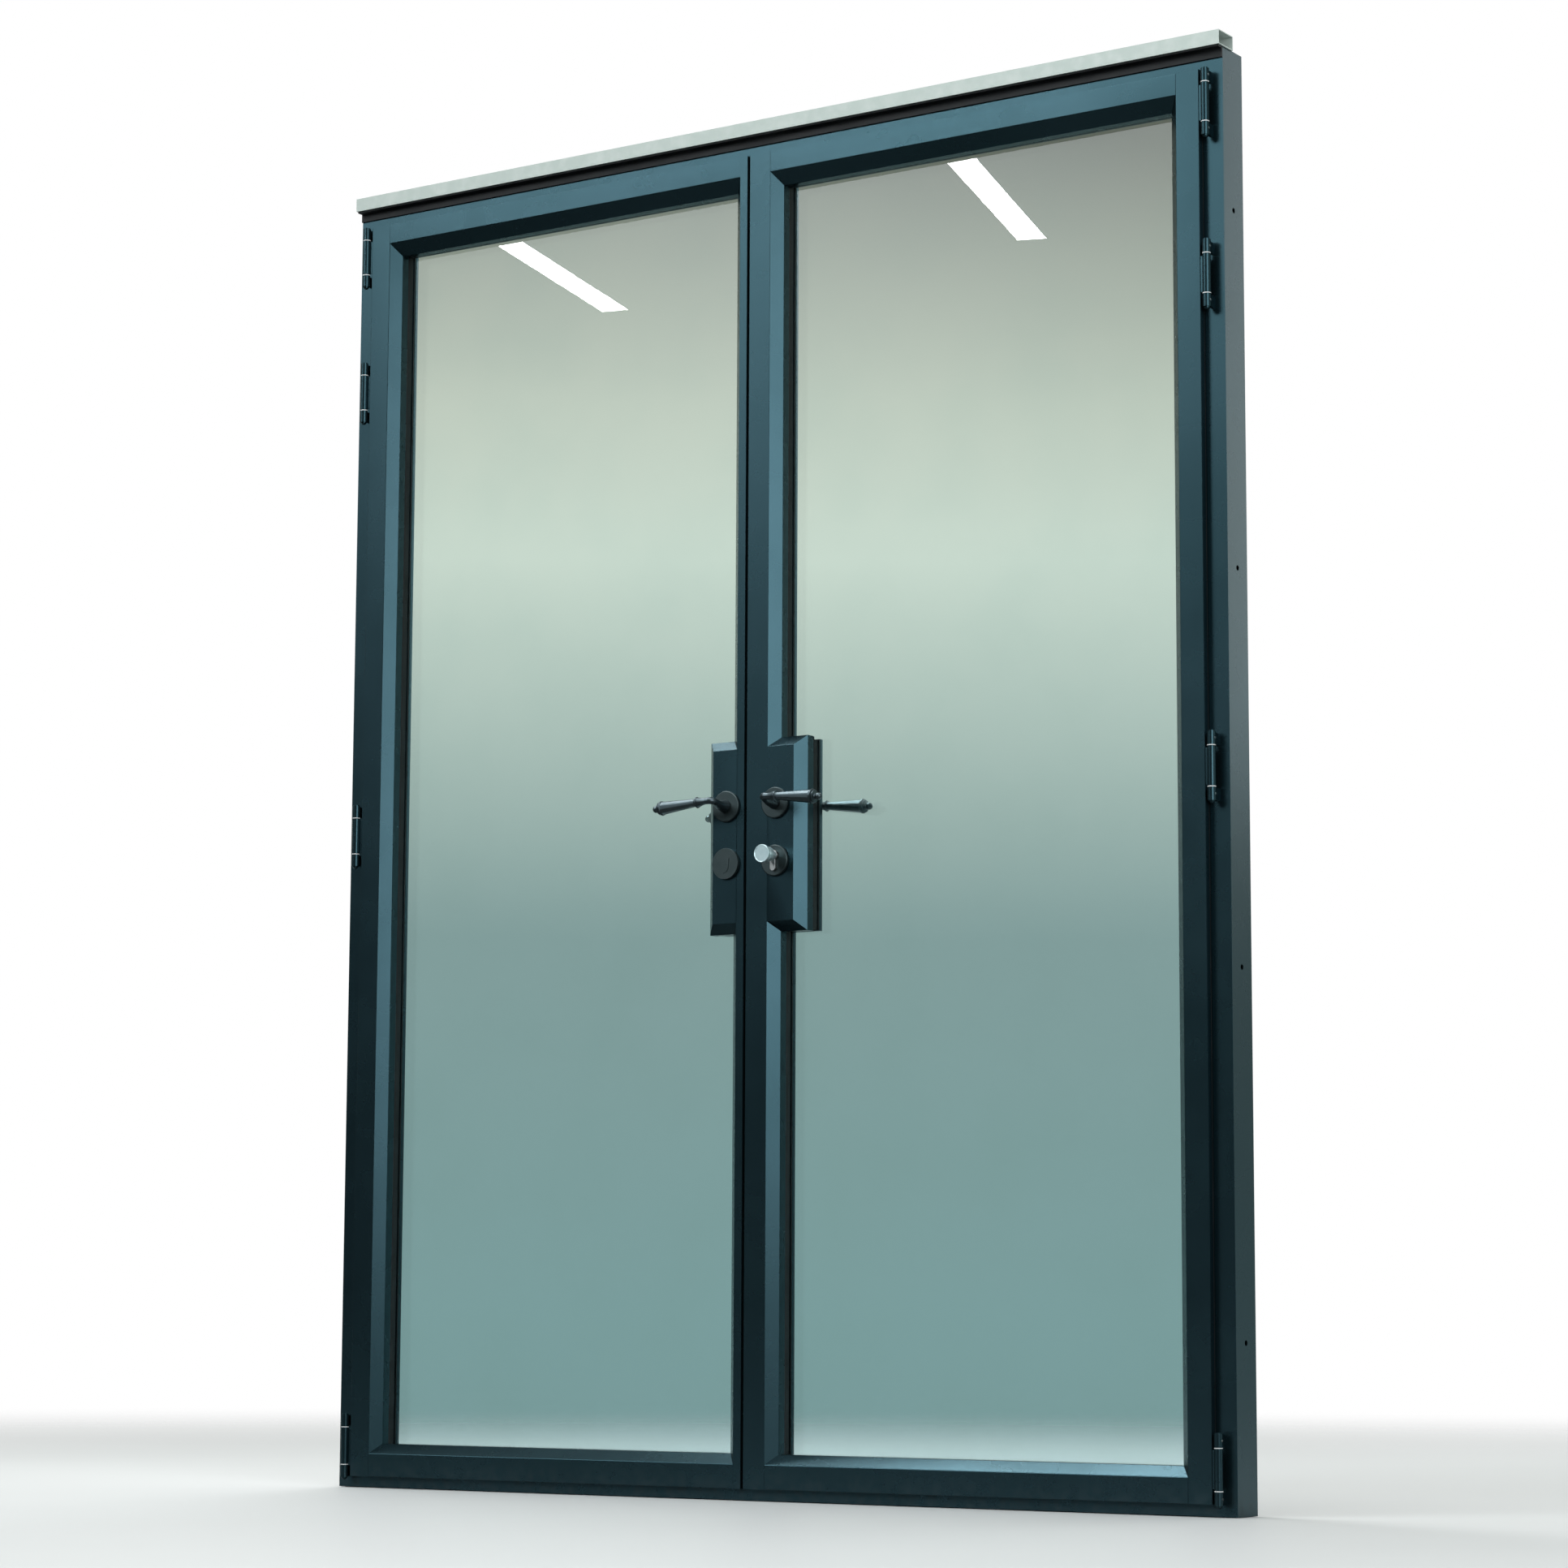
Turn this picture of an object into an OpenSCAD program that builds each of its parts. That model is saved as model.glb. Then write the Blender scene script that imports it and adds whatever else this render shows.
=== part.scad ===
// Double-leaf glazed doors in their frame. Both leaves are one full glass pane in a slim
// tube frame, hang on four barrel hinges each and open towards the front (-Y).
// Millimetres. X runs across, Z is up, the origin is on the sill's underside, mid depth.

/* [Frame] */
// Width of the frame, outside to outside
frame_w = 1696; // [1300:1:2200]
// Height of the frame, underside of the sill to top of the head
frame_h = 2202; // [1800:1:2700]
// Thickness of the stop behind the leaves
stop_t = 8; // [8:1:40]
// Width of jamb that shows beside a leaf
jamb_face = 34; // [26:1:60]
// Height of head that shows above the leaves
head_face = 34; // [26:1:60]
// Height of sill that shows below the leaves
sill_face = 18; // [18:1:40]
// Width of the stop at the back of the frame
stop_w = 12; // [8:1:20]
// Height of the dark joint strip at the top of the head
joint_strip_h = 17; // [10:1:20]
// Height of the light trim on top of the head
trim_h = 22.5; // [15:0.5:40]
// Wall of every frame and leaf tube
wall = 2; // [1.5:0.1:3]
// Diameter of the holes that fix the jambs to a wall
fixing_d = 8.4; // [6:0.1:10]

/* [Leaves] */
// How far the leaves stand in front of the frame's face
leaf_proud = 14; // [13:1:20]
// Depth of a leaf
leaf_depth = 66; // [64:1:80]
// Overlap of the leaf's lip on the frame
lip_overlap = 8; // [5:1:12]
// Thickness of the lip
lip_t = 11; // [8:1:11]
// Gap between the leaf's edge and the frame behind the lip
leaf_gap = 3; // [2:0.5:6]
// Face of the hinge stile
hinge_face = 40; // [30:1:70]
// Face of the top rail
top_face = 34; // [26:1:90]
// Face of the bottom rail
bottom_face = 38; // [26:1:200]
// Face of the left leaf's meeting stile
left_meeting_face = 14.5; // [14.5:0.5:40]
// Face of the right leaf's meeting stile
right_meeting_face = 41; // [20:1:70]
// Gap between the two leaves
meeting_gap = 4.5; // [4.5:0.5:8]
// Offset of that gap from the middle of the frame
meeting_offset = -16; // [-30:1:0]
// Width of the splay around the glass
splay_w = 16; // [8:1:24]
// Width of the splay under the top rail
splay_top = 22; // [8:1:30]
// Depth of the splay
splay_d = 17; // [8:1:24]

/* [Glass] */
// Thickness of each pane
pane_t = 4; // [4:1:6]
// Space between the panes
pane_gap = 12; // [8:1:14]
// Thickness of the front gasket
gasket_t = 3; // [2:0.5:4]
// Gap round the edge of the glass unit
glass_gap = 3; // [2:0.5:5]

/* [Hinges] */
// Diameter of a hinge barrel
barrel_d = 13; // [12:1:18]
// Diameter of the hinge pin
pin_d = 7; // [5:0.5:8]
// Height of the leaf's knuckle
mid_knuckle = 60; // [40:1:80]
// Height of each frame knuckle
end_knuckle = 20; // [14:1:30]
// Thickness of the white washers
washer_t = 1.5; // [1:0.5:3]
// Distance of the hinge axis outside the leaf's edge
hinge_out = 11.2; // [10:0.1:16]
// Height above the leaf's foot of the lowest hinge
hinge_low = 50; // [50:1:200]
// Height above the leaf's foot of the second hinge
hinge_second = 1080; // [600:1:1300]
// Distance of the left leaf's third hinge below its top
left_hinge_third = 294; // [200:1:500]
// Distance of the right leaf's third hinge below its top
right_hinge_third = 320; // [200:1:500]
// Distance of the top hinge below the leaf's top
hinge_top = 53; // [53:1:200]

/* [Locks] */
// Height of a lock box
box_h = 280; // [240:1:400]
// Height of the lock boxes' foot above the leaf's foot
box_z = 890; // [600:1:1100]
// Width of the left lock box beyond its stile
left_box_w = 46; // [44:1:70]
// Width of the right lock box beyond its stile
right_box_w = 50; // [44:1:90]
// Height of the lever axis above the lock box's foot
lever_rise = 188.5; // [170:0.5:200]
// Distance of the left lever axis from the meeting edge
left_backset = 33.3; // [33.3:0.1:40]
// Distance of the right lever axis from the meeting edge
right_backset = 57; // [50:1:70]
// Distance between lever axis and key cylinder axis
key_drop = 85; // [72:1:92]
// Travel of the latch
latch_throw = 11; // [8:1:14]
// Travel of the deadbolt
dead_throw = 20; // [14:1:20]
// Travel of the shoot bolts
shoot_throw = 9; // [7:1:9]
// Diameter of the shoot bolt rods
rod_d = 8; // [6:1:8]

/* [Handles] */
// Diameter of the roses
rose_d = 50; // [44:1:54]
// Thickness of the roses
rose_t = 5; // [4:0.5:8]
// Distance of the grip's axis in front of the leaf
grip_out = 42; // [36:1:55]
// How far a lever's neck lifts the grip above the lever's axis
neck_rise = 6; // [0:0.5:9]
// Length from the lever's axis to the tip of its ball
lever_l = 115; // [95:1:140]
// Diameter of the grip at its wide end
grip_d = 22; // [18:1:26]
// Diameter of the thumb turn's knob
knob_d = 29; // [22:1:32]

/* [Hidden] */

$fn = 48;
left = -1;
right = 1;
coat = "#33434d";
dark_satin = "#43474b";
bright = "#c9cccc";
steel = "#8d9296";
rubber = "#15181a";

// Frame, worked out from its face upwards
face_y = leaf_proud;
stop_gap = 2;
stop_y = leaf_depth + stop_gap;
back_y = stop_y + stop_t;
jamb_w = jamb_face + lip_overlap;
head_w = head_face + lip_overlap;
sill_w = sill_face + lip_overlap;
mid_y = (face_y + back_y) / 2;
fixing_rise = 250;
fixing_heights = [fixing_rise, frame_h / 2 - 300, frame_h / 2 + 300, frame_h - fixing_rise];

// Leaves: u runs from the hinge edge inwards, s from the meeting edge inwards
leaf_x = frame_w / 2 - jamb_face;
leaf_h = frame_h - head_face - sill_face;
rebate = lip_overlap + leaf_gap;
end_plug = 3;
function leaf_w(side) = leaf_x - side * meeting_offset - meeting_gap / 2;
function meeting_face(side) = side == left ? left_meeting_face : right_meeting_face;
function box_w(side) = side == left ? left_box_w : right_box_w;
function backset(side) = side == left ? left_backset : right_backset;

// Glass unit
glass_y = 36;
seat_y = glass_y - gasket_t;
unit_t = 2 * pane_t + pane_gap;
bead_w = 14;
rear_gasket_t = 2;
bead_y = glass_y + unit_t + rear_gasket_t;

// Hinges
hinge_y = -1;
run = 0.03;
knuckle_gap = washer_t + 0.3;
function hinge_heights(side) = [hinge_low, hinge_second,
    leaf_h - (side == left ? left_hinge_third : right_hinge_third), leaf_h - hinge_top];
wing_t = 4;

// Locks
case_t = 16;
case_y = 31;
case_wall = 1.5;
plate_t = 3;
plate_w = 20;
plate_below = 140;
plate_above = 60;
lever_z = box_z + lever_rise;
key_z = lever_z - key_drop;
escutcheon_drop = 7.5;
latch_size = [42, 12, 18];
dead_size = [50, 12, 34];
dead_drop = 62;
slide_gap = 0.3;
rod_s = left_meeting_face / 2;
rod_y = 50;
rod_inset = 1;
crank_r = shoot_throw / sin(45);
gear_half = 45;
gear_y = 42;
gear_s = left_meeting_face + 0.5;
yoke_t = 3;
yoke_y = rod_y - yoke_t / 2;
yoke_pin_d = 4;
yoke_low = 20;
yoke_h = 6;

// Handles
spindle_side = 8;
hub_d = 18;
foot_d = 21;
neck_d = 11;
spindle_reach = 16;

// ---------------------------------------------------------------- helpers

// Turns the face-first drawing depth into the part's own Y
module set_back() translate([0, -mid_y, 0]) children();

// Leaf coordinates: u inwards from the hinge edge, z up from the leaf's foot
module in_leaf(side) {
    set_back()
        if (side == left) translate([-leaf_x, 0, sill_face]) children();
        else translate([leaf_x, 0, sill_face]) mirror([1, 0, 0]) children();
}

// The same from the meeting edge: s inwards, z up from the leaf's foot
module from_meeting(side) {
    in_leaf(side) translate([leaf_w(side), 0, 0]) mirror([1, 0, 0]) children();
}

// Draws children once on the front and once, mirrored, on the back of a leaf
module front_and_back() {
    children();
    translate([0, leaf_depth, 0]) mirror([0, 1, 0]) children();
}

module on_back() translate([0, leaf_depth, 0]) mirror([0, 1, 0]) children();

// An outline in X and Z, given its thickness from y0 to y1
module upright_plate(points, y0, y1) {
    translate([0, y1, 0]) rotate([90, 0, 0]) linear_extrude(y1 - y0) polygon(points);
}

// A profile drawn in (z, y) and run along X from x0 to x1
module run_along(x0, x1) {
    translate([x1, 0, 0]) rotate([0, -90, 0]) linear_extrude(x1 - x0) children();
}

// A cylinder along Y from y0 to y1
module across(d, y0, y1) translate([0, y0, 0]) rotate([-90, 0, 0]) cylinder(d = d, h = y1 - y0);

// A turned piece on the Y axis, its outline given as [radius, distance]
module turned(points) rotate([-90, 0, 0]) rotate_extrude() polygon(points);

// ---------------------------------------------------------------- frame

// Tube profile of the frame: w is its width beside the leaf, then the stop at the back
module frame_section(w) {
    difference() {
        polygon([[0, face_y], [w, face_y], [w, stop_y], [w + stop_w, stop_y],
            [w + stop_w, back_y], [0, back_y]]);
        polygon([[wall, face_y + wall], [w - wall, face_y + wall], [w - wall, stop_y + wall],
            [w + stop_w - wall, stop_y + wall], [w + stop_w - wall, back_y - wall],
            [wall, back_y - wall]]);
    }
}

module jamb() {
    difference() {
        intersection() {
            linear_extrude(frame_h) frame_section(jamb_w);
            upright_plate([[0, 0], [jamb_w, sill_w], [jamb_w + stop_w, sill_w + stop_w],
                [jamb_w + stop_w, frame_h - head_w - stop_w], [jamb_w, frame_h - head_w],
                [0, frame_h]], 0, back_y);
        }
        for (z = fixing_heights) translate([0, mid_y, z]) rotate([0, 90, 0])
            cylinder(d = fixing_d, h = 3 * jamb_w, center = true);
    }
}

module frame_jamb_left() color(coat) set_back() translate([-frame_w / 2, 0, 0]) jamb();

module frame_jamb_right() {
    color(coat) set_back() translate([frame_w / 2, 0, 0]) mirror([1, 0, 0]) jamb();
}

// Outline, in X and Z, of the mitred sill or head; w is its height
module cross_outline(w) {
    half = frame_w / 2;
    upright_plate([[-half, 0], [-half + jamb_w, w], [-half + jamb_w + stop_w, w + stop_w],
        [half - jamb_w - stop_w, w + stop_w], [half - jamb_w, w], [half, 0]], 0, back_y);
}

module frame_head() {
    color(coat) set_back() difference() {
        translate([0, 0, frame_h]) mirror([0, 0, 1]) intersection() {
            run_along(-frame_w / 2, frame_w / 2) frame_section(head_w);
            cross_outline(head_w);
        }
        keep_hole(frame_h - head_w);
    }
}

module frame_sill() {
    color(coat) set_back() difference() {
        intersection() {
            run_along(-frame_w / 2, frame_w / 2) frame_section(sill_w);
            cross_outline(sill_w);
        }
        keep_hole(sill_w);
    }
}

// Where the left leaf's shoot bolts run, in X
rod_x = -leaf_x + leaf_w(left) - rod_s;
keep_size = [rod_d + 14, rod_d + 14, 2];
keep_slack = 1;

// Hole through the frame's wall for the keep at height z
module keep_hole(z) {
    translate([rod_x, rod_y, z])
        cube([keep_size[0], keep_size[1], 2 * keep_size[2] + 2 * wall], center = true);
}

// Plates that the shoot bolts lock into, flush with the frame's inner faces
module shoot_bolt_keeps() {
    color(steel) set_back() for (z = [sill_w - keep_size[2], frame_h - head_w])
        translate([rod_x, rod_y, z]) difference() {
            translate([-keep_size[0] / 2 + 0.1, -keep_size[1] / 2 + 0.1, 0])
                cube(keep_size - [0.2, 0.2, 0]);
            translate([0, 0, -1]) cylinder(d = rod_d + 2 * keep_slack, h = keep_size[2] + 2);
        }
}

// Angle cleats pressed into the four mitred corners
module frame_corner_cleats() {
    leg = 90;
    slack = wall + 0.2;
    for (sx = [-1, 1]) color(steel) set_back() {
        corner_cleat(sx, sill_w, leg, slack);
        translate([0, 0, frame_h]) mirror([0, 0, 1]) corner_cleat(sx, head_w, leg, slack);
    }
}

// One cleat; it stops short of the mitred walls of the jamb and of the sill or head, w tall
module corner_cleat(sx, w, leg, slack) {
    half = frame_w / 2;
    u = min(jamb_w - slack, (w - wall) * jamb_w / w - 0.2);
    z = min(w - slack, (jamb_w - wall) * w / jamb_w - 0.2);
    upright_plate([for (p = [[slack, slack], [jamb_w + leg, slack], [jamb_w + leg, z], [u, z],
        [u, w + leg], [slack, w + leg]]) [sx * (p[0] - half), p[1]]],
        face_y + slack, face_y + 26);
}

// Rubber seal on the frame's face, under the lips of the leaves
module frame_seal() {
    seal_w = lip_overlap - 2;
    color(rubber) set_back() upright_ring(leaf_x - 1, sill_face + 1, frame_h - head_face - 1,
        seal_w, lip_t + 0.4, face_y);
}

// Upright rectangular ring, half is half its width, w the width of its sides
module upright_ring(half, z0, z1, w, y0, y1) {
    difference() {
        translate([-half, y0, z0]) cube([2 * half, y1 - y0, z1 - z0]);
        translate([-half + w, y0 - 1, z0 + w]) cube([2 * (half - w), y1 - y0 + 2, z1 - z0 - 2 * w]);
    }
}

// Dark strip that seals the joint between the head and the trim above it
module head_joint_strip() {
    foot = frame_h - joint_strip_h;
    color(rubber) set_back() run_along(-frame_w / 2, frame_w / 2)
        polygon([[foot, face_y], [foot, face_y - 3], [frame_h - 3, face_y - 3], [frame_h - 3, 0.5],
            [frame_h, 0.5], [frame_h, face_y]]);
}

// Light box trim on top of the head
trim_over = 2;
trim_back = 44;
trim_wall = 1.5;
module head_trim() {
    color("#b9c4bf") set_back() difference() {
        run_along(-frame_w / 2 - trim_over, frame_w / 2 + trim_over) difference() {
            translate([frame_h, -2]) square([trim_h, trim_back + 2]);
            translate([frame_h + trim_wall, trim_wall - 2])
                square([trim_h - 2 * trim_wall, trim_back + 2 - 2 * trim_wall]);
        }
        for (x = trim_screw_places) translate([x, trim_screw_y, frame_h - 1])
            cylinder(d = 5, h = trim_h + 2);
    }
}

trim_screw_y = 32;
trim_screw_places = [for (i = [-2:2]) i * (frame_w / 2 - 80) / 2];

// Screws down through the trim on to the head
module head_trim_screws() {
    color(steel) set_back() for (x = trim_screw_places) translate([x, trim_screw_y, 0]) {
        translate([0, 0, frame_h]) cylinder(d = 4.8, h = trim_h);
        translate([0, 0, frame_h + trim_h]) cylinder(d = 9, h = 2.4);
    }
}

// ---------------------------------------------------------------- hinges

// Places children at each hinge of one leaf, origin on the hinge's axis at its middle
module each_hinge(side) {
    in_leaf(side) for (z = hinge_heights(side)) translate([-hinge_out, hinge_y, z]) children();
}

end_z = mid_knuckle / 2 + knuckle_gap;
grub_z = end_z + end_knuckle / 2;
grub_d = 4;

// Both frame knuckles of one hinge, with the wings that hold them to the jamb's face
module frame_knuckle_pair() {
    for (m = [0, 1]) mirror([0, 0, m]) difference() {
        union() {
            translate([0, 0, end_z]) cylinder(d = barrel_d, h = end_knuckle);
            translate([-wing_t / 2, 0, end_z + 1])
                cube([wing_t, face_y - hinge_y, end_knuckle - 2]);
        }
        translate([0, 0, end_z - 1]) cylinder(r = pin_d / 2 + run, h = end_knuckle + 2);
        translate([0, 0, grub_z]) rotate([0, -90, 0]) cylinder(d = grub_d, h = barrel_d);
    }
}

module frame_hinge_knuckles() {
    for (side = [left, right]) color(coat) each_hinge(side) frame_knuckle_pair();
}

// Pin with a domed foot
module hinge_pins() {
    reach = end_z + end_knuckle;
    for (side = [left, right]) color(steel) each_hinge(side) {
        translate([0, 0, -reach - 0.5]) cylinder(d = pin_d, h = 2 * reach + 0.5);
        translate([0, 0, reach]) cylinder(d = pin_d + 3, h = 1.5);
        rotate_extrude() polygon([[0, -reach - 4.5], [2.5, -reach - 4], [4.6, -reach - 2],
            [5, -reach], [0, -reach]]);
    }
}

module hinge_washers() {
    for (side = [left, right]) color("#eef0f0") each_hinge(side)
        for (m = [0, 1]) mirror([0, 0, m]) translate([0, 0, end_z - washer_t]) difference() {
            cylinder(d = barrel_d, h = washer_t);
            translate([0, 0, -1]) cylinder(r = pin_d / 2 + 0.1, h = washer_t + 2);
        }
}

// Screws that lock the pins in the frame's knuckles
module hinge_grub_screws() {
    for (side = [left, right]) color(bright) each_hinge(side)
        for (m = [0, 1]) mirror([0, 0, m]) translate([-pin_d / 2 - 0.1, 0, grub_z])
            rotate([0, -90, 0]) cylinder(d = grub_d - 0.1, h = (barrel_d - pin_d) / 2);
}

// The leaf's own knuckles and the wings that hold them to its edge
module leaf_knuckles(side) {
    color(coat) each_hinge(side) difference() {
        union() {
            cylinder(d = barrel_d, h = mid_knuckle, center = true);
            translate([0, 1.5, 2 - mid_knuckle / 2]) cube([hinge_out, wing_t, mid_knuckle - 4]);
        }
        cylinder(r = pin_d / 2 + run, h = mid_knuckle + 2, center = true);
    }
}

module left_hinge_knuckles() leaf_knuckles(left);
module right_hinge_knuckles() leaf_knuckles(right);

// ---------------------------------------------------------------- leaf frames

// Tube profile of a leaf member: face wide at the front, then the splay towards the glass.
// cut is the step behind the lip, 0 on a meeting stile
module leaf_section(face, cut, splay) {
    slope_t = wall * sqrt(splay * splay + splay_d * splay_d) / splay;
    slope_end = slope_t + (splay - wall) * splay_d / splay;
    difference() {
        polygon(concat([[0, 0], [face, 0], [face + splay, splay_d], [face + splay, seat_y],
            [face, seat_y], [face, leaf_depth], [cut, leaf_depth]],
            cut > 0 ? [[cut, lip_t], [0, lip_t]] : []));
        polygon([[face, slope_t], [face + splay - wall, slope_end],
            [face + splay - wall, seat_y - wall], [face, seat_y - wall]]);
    }
}

// The hollow of that profile's body
module leaf_hollow(face, cut) {
    polygon(concat([[wall, wall], [face - wall, wall], [face - wall, leaf_depth - wall],
        [cut + wall, leaf_depth - wall]],
        cut > 0 ? [[cut + wall, lip_t - wall], [wall, lip_t - wall]] : []));
}

// A stile of the leaf's full height; its splay is mitred to the rails
module stile(face, cut) {
    difference() {
        intersection() {
            linear_extrude(leaf_h) leaf_section(face, cut, splay_w);
            union() {
                cube([face, lip_t, leaf_h]);
                translate([0, 0, rebate]) cube([face, leaf_depth, leaf_h - 2 * rebate]);
                upright_plate([[0, bottom_face], [face, bottom_face],
                    [face + splay_w, bottom_face + splay_w],
                    [face + splay_w, leaf_h - top_face - splay_top], [face, leaf_h - top_face],
                    [0, leaf_h - top_face]], 0, leaf_depth);
            }
        }
        translate([0, 0, rebate + end_plug])
            linear_extrude(leaf_h - 2 * (rebate + end_plug)) leaf_hollow(face, cut);
    }
}

// A rail between the stiles of one leaf, drawn as a bottom rail
module rail(side, face, splay) {
    u0 = hinge_face;
    u1 = leaf_w(side) - meeting_face(side);
    difference() {
        intersection() {
            run_along(u0, u1) leaf_section(face, rebate, splay);
            upright_plate([[u0, 0], [u0, face], [u0 + splay_w, face + splay],
                [u1 - splay_w, face + splay], [u1, face], [u1, 0]], 0, leaf_depth);
        }
        run_along(u0, u1) leaf_hollow(face, rebate);
    }
}

module leaf_hinge_stile(side) color(coat) in_leaf(side) stile(hinge_face, rebate);

module leaf_bottom_rail(side) color(coat) in_leaf(side) rail(side, bottom_face, splay_w);

module leaf_top_rail(side) {
    color(coat) in_leaf(side) translate([0, 0, leaf_h]) mirror([0, 0, 1])
        rail(side, top_face, splay_top);
}

module left_hinge_stile() leaf_hinge_stile(left);
module left_top_rail() leaf_top_rail(left);
module left_bottom_rail() leaf_bottom_rail(left);
module right_hinge_stile() leaf_hinge_stile(right);
module right_top_rail() leaf_top_rail(right);
module right_bottom_rail() leaf_bottom_rail(right);

// Splayed block of a lock box in (s, z), shrunk by inset at every face but the stile's
module box_splay(side, inset) {
    s0 = meeting_face(side);
    s1 = s0 + box_w(side);
    z0 = box_z;
    z1 = box_z + box_h;
    w = splay_w - inset;
    y0 = inset * sqrt(splay_w * splay_w + splay_d * splay_d) / splay_w;
    y1 = y0 + w * splay_d / splay_w;
    y2 = seat_y - inset;
    intersection() {
        translate([0, 0, z0 - splay_w]) linear_extrude(box_h + 2 * splay_w)
            polygon([[s0, y0], [s1, y0], [s1 + w, y1], [s1 + w, y2], [s0, y2]]);
        run_along(s0, s1 + splay_w)
            polygon([[z0, y0], [z1, y0], [z1 + w, y1], [z1 + w, y2], [z0 - w, y2], [z0 - w, y1]]);
    }
}

// Casing of a lock, welded to the meeting stile and bored for the lever and the key cylinder:
// the glass is notched round it
module lock_box(side) {
    s0 = meeting_face(side);
    color(coat) from_meeting(side) difference() {
        union() {
            box_splay(side, 0);
            translate([s0, 0, box_z]) cube([box_w(side), leaf_depth, box_h]);
        }
        box_splay(side, wall);
        translate([s0, wall, box_z + wall])
            cube([box_w(side) - wall, leaf_depth - 2 * wall, box_h - 2 * wall]);
        translate([backset(side), 0, lever_z]) across(14, -1, leaf_depth + 1);
        translate([backset(side), 0, key_z]) key_bar(0.3, -1, leaf_depth + 1);
    }
}

// Outline of a euro profile key cylinder about its barrel's axis, grown by slack
module key_profile(slack) {
    circle(r = 8.5 + slack);
    translate([-5 - slack, -19.5]) square([10 + 2 * slack, 19.5]);
    translate([0, -19.5]) circle(r = 5 + slack);
}

// That outline as a bar along Y from y0 to y1
module key_bar(slack, y0, y1) {
    translate([0, y1, 0]) rotate([90, 0, 0]) linear_extrude(y1 - y0) key_profile(slack);
}

module left_lock_box() lock_box(left);
module right_lock_box() lock_box(right);

// A box about a bolt: size is [length, Y, Z], from the meeting edge inwards
module bolt_space(size, z, slack, s0, s1) {
    translate([s0, case_y - size[1] / 2 - slack, z - size[2] / 2 - slack])
        cube([s1 - s0, size[1] + 2 * slack, size[2] + 2 * slack]);
}

latch_z = lever_z + 4;
dead_z = lever_z - dead_drop;

module plate_space(slack, t) {
    translate([-1, case_y - plate_w / 2 - slack, lever_z - plate_below - slack])
        cube([t + 1, plate_w + 2 * slack, plate_below + plate_above + 2 * slack]);
}

module left_meeting_stile() {
    slot = yoke_h + shoot_throw + 1;
    color(coat) from_meeting(left) difference() {
        stile(left_meeting_face, 0);
        box_splay(left, 0);
        plate_space(0.1, plate_t);
        bolt_space(latch_size, latch_z, 1, -1, latch_throw);
        bolt_space(dead_size, dead_z, 1, -1, dead_throw);
        for (m = [0, 1]) translate([0, 0, m * leaf_h]) mirror([0, 0, m])
            translate([rod_s, rod_y, -1]) cylinder(r = rod_d / 2 + 0.05, h = rebate + end_plug + 2);
        for (m = [0, 1]) translate([rod_s, yoke_y - 0.5, lever_z]) mirror([0, 0, m])
            translate([0, 0, yoke_low - 0.5]) cube([left_meeting_face, yoke_t + 1, slot]);
    }
}

case_below = 135;
case_above = 32;
case_s1 = 82;

module right_meeting_stile() {
    color(coat) from_meeting(right) difference() {
        stile(right_meeting_face, 0);
        box_splay(right, 0);
        plate_space(0.1, plate_t);
        translate([0, case_y - case_t / 2 - 0.3, lever_z - case_below - 0.3])
            cube([right_meeting_face + 1, case_t + 0.6, case_below + case_above + 0.6]);
    }
}

// ---------------------------------------------------------------- glass

// Outline in (u, z) that lies e inside the leaf's face edges, with the notch for the lock
// box; et is the same for the top edge
function glass_outline(side, e, et) =
    let (u0 = hinge_face + e, u1 = leaf_w(side) - meeting_face(side) - e,
        z0 = bottom_face + e, z1 = leaf_h - top_face - et,
        n = u1 - box_w(side), n0 = box_z - e, n1 = box_z + box_h + e)
    [[u0, z0], [u1, z0], [u1, n0], [n, n0], [n, n1], [u1, n1], [u1, z1], [u0, z1]];

// Upright ring between two such outlines
module glass_ring(side, e0, e1, et1, y0, y1) {
    difference() {
        upright_plate(glass_outline(side, e0, e0), y0, y1);
        upright_plate(glass_outline(side, e1, et1), y0 - 1, y1 + 1);
    }
}

module pane(side, y0) {
    color("#a9c4c0", 0.45) in_leaf(side)
        upright_plate(glass_outline(side, glass_gap, glass_gap), y0, y0 + pane_t);
}

module spacer(side) {
    color("#3c4042") in_leaf(side)
        glass_ring(side, glass_gap, 12, 12, glass_y + pane_t, glass_y + pane_t + pane_gap);
}

module gaskets(side) {
    color(rubber) in_leaf(side) {
        glass_ring(side, 9, splay_w - 0.5, splay_top - 0.5, seat_y, glass_y);
        glass_ring(side, 6, bead_w - 0.5, bead_w - 0.5, glass_y + unit_t, bead_y);
    }
}

// Beads that hold the glass from behind, cut to length round the outline
module beads(side) {
    cut = 0.2;
    w = bead_w - cut;
    p = glass_outline(side, cut, cut);
    u0 = p[0][0];
    u1 = p[1][0];
    z0 = p[0][1];
    z1 = p[7][1];
    n = p[3][0];
    n0 = p[2][1];
    n1 = p[5][1];
    color(coat) in_leaf(side) {
        bead([u0, z0, u0 + w, z1]);
        bead([u0 + w + cut, z0, u1, z0 + w]);
        bead([u0 + w + cut, z1 - w, u1, z1]);
        bead([u1 - w, z0 + w + cut, u1, n0]);
        bead([u1 - w, n1, u1, z1 - w - cut]);
        bead([n - w, n0 - w, n, n1 + w]);
        bead([n + cut, n0 - w, u1 - w - cut, n0]);
        bead([n + cut, n1, u1 - w - cut, n1 + w]);
    }
}

// One bead over the rectangle r = [u0, z0, u1, z1]
module bead(r) {
    translate([r[0], bead_y, r[1]]) cube([r[2] - r[0], leaf_depth - bead_y, r[3] - r[1]]);
}

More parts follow.
